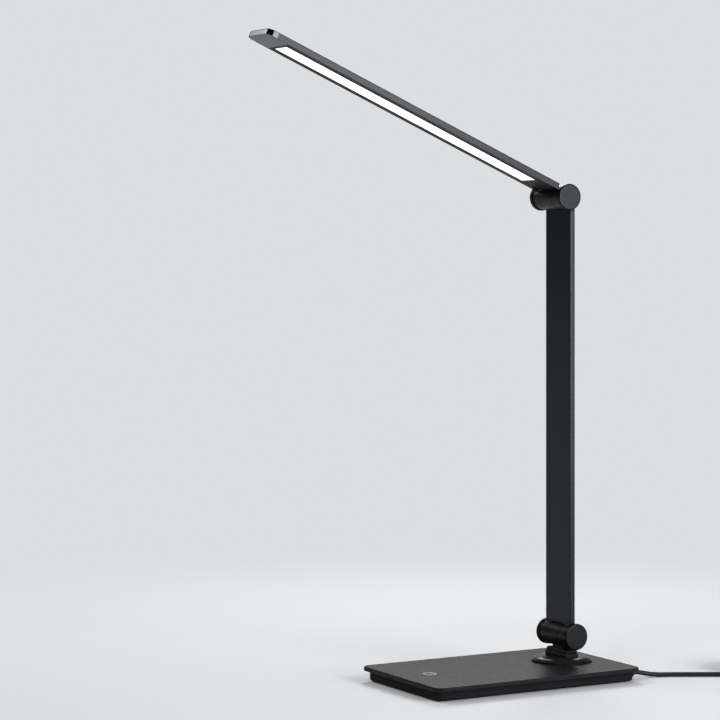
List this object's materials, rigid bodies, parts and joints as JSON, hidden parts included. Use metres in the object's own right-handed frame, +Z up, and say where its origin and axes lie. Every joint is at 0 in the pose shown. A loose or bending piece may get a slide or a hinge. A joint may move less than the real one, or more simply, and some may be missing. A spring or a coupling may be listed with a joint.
{
  "type": "folding desk lamp",
  "caption": "Folding desk lamp with a slim edge-to-edge light bar, a flat arm on two friction hinges, a turning foot and a weighted rectangular base.",
  "frame": {"origin": "middle of the base's footprint, on the surface that the mat rests on", "axes": "+Z up; +X along the base's long side toward the hinge end; the light bar reaches toward -X; the hinge axes lie along Y"},
  "size_m": [0.4687, 0.1566, 0.4919],
  "materials": {
    "mat_rubber": "fine matte, non-slip",
    "tray_plastic": "fine moulded texture",
    "cover_plastic": "satin piano black",
    "weight_steel": "zinc plated",
    "screw_steel": "zinc plated",
    "board": "solder mask",
    "spring_steel": "bare spring steel",
    "nylon": "natural acetal",
    "soft_black": "smooth matte",
    "cast_black": "black powder coat on a zinc casting",
    "arm_anodised": "black anodised, satin",
    "head_anodised": "black anodised, satin",
    "cap_black": "satin black",
    "bezel_black": "matte black",
    "tip_black": "polished black",
    "bolt_steel": "nickel plated",
    "led_white": "white solder mask",
    "led_chip": "phosphor",
    "reflector_white": "diffuse white",
    "diffuser_opal": "opal, lit",
    "cord_sheath": "smooth sheath",
    "plug_plastic": "fine matte",
    "plug_metal": "nickel plated"
  },
  "bodies": {
    "base": {"base_mat": "mat_rubber", "base_tray": "tray_plastic", "base_weight": "weight_steel", "base_cover": "cover_plastic", "tray_screws": "screw_steel", "touch_board": "board", "touch_spring": "spring_steel", "driver_board": "board", "cord_relief": "soft_black", "swivel_glide": "nylon", "swivel_bush": "nylon", "cord_run": "cord_sheath", "cord_coil": "cord_sheath", "cord_tail": "cord_sheath", "plug_body": "plug_plastic", "plug_shell": "plug_metal"},
    "swivel": {"turntable": "cast_black", "swivel_washer": "spring_steel", "stop_ring": "spring_steel", "swivel_nut": "screw_steel", "hinge_bracket": "cast_black", "bracket_screws": "screw_steel"},
    "arm": {"arm_tube": "arm_anodised", "lower_fork": "cast_black", "upper_fork": "cast_black", "fork_screws": "screw_steel", "arm_wire": "soft_black", "lower_bolt": "bolt_steel", "lower_nut": "bolt_steel", "lower_spring_washer": "spring_steel", "lower_friction_discs": "nylon", "lower_caps": "cap_black", "upper_bolt": "bolt_steel", "upper_nut": "bolt_steel", "upper_spring_washer": "spring_steel", "upper_friction_discs": "nylon", "upper_caps": "cap_black"},
    "head": {"head_knuckle": "cast_black", "head_screws": "screw_steel", "head_channel": "head_anodised", "head_bezel": "bezel_black", "tip_cap": "tip_black", "led_board": "led_white", "led_chips": "led_chip", "reflector": "reflector_white", "diffuser": "diffuser_opal"}
  },
  "joints": [
    {"name": "base_swivel", "type": "hinge", "parent": "base", "child": "swivel", "pos_m": [0.056, 0, 0.0156], "axis": [0, 0, 1], "range_deg": [-90, 90]},
    {"name": "arm_tilt", "type": "hinge", "parent": "swivel", "child": "arm", "pos_m": [0.056, 0, 0.0323], "axis": [0, 1, 0], "range_deg": [-90, 45]},
    {"name": "head_tilt", "type": "hinge", "parent": "arm", "child": "head", "pos_m": [0.0498, 0, 0.3723], "axis": [0, 1, 0], "range_deg": [-113.5, 66.5]}
  ]
}
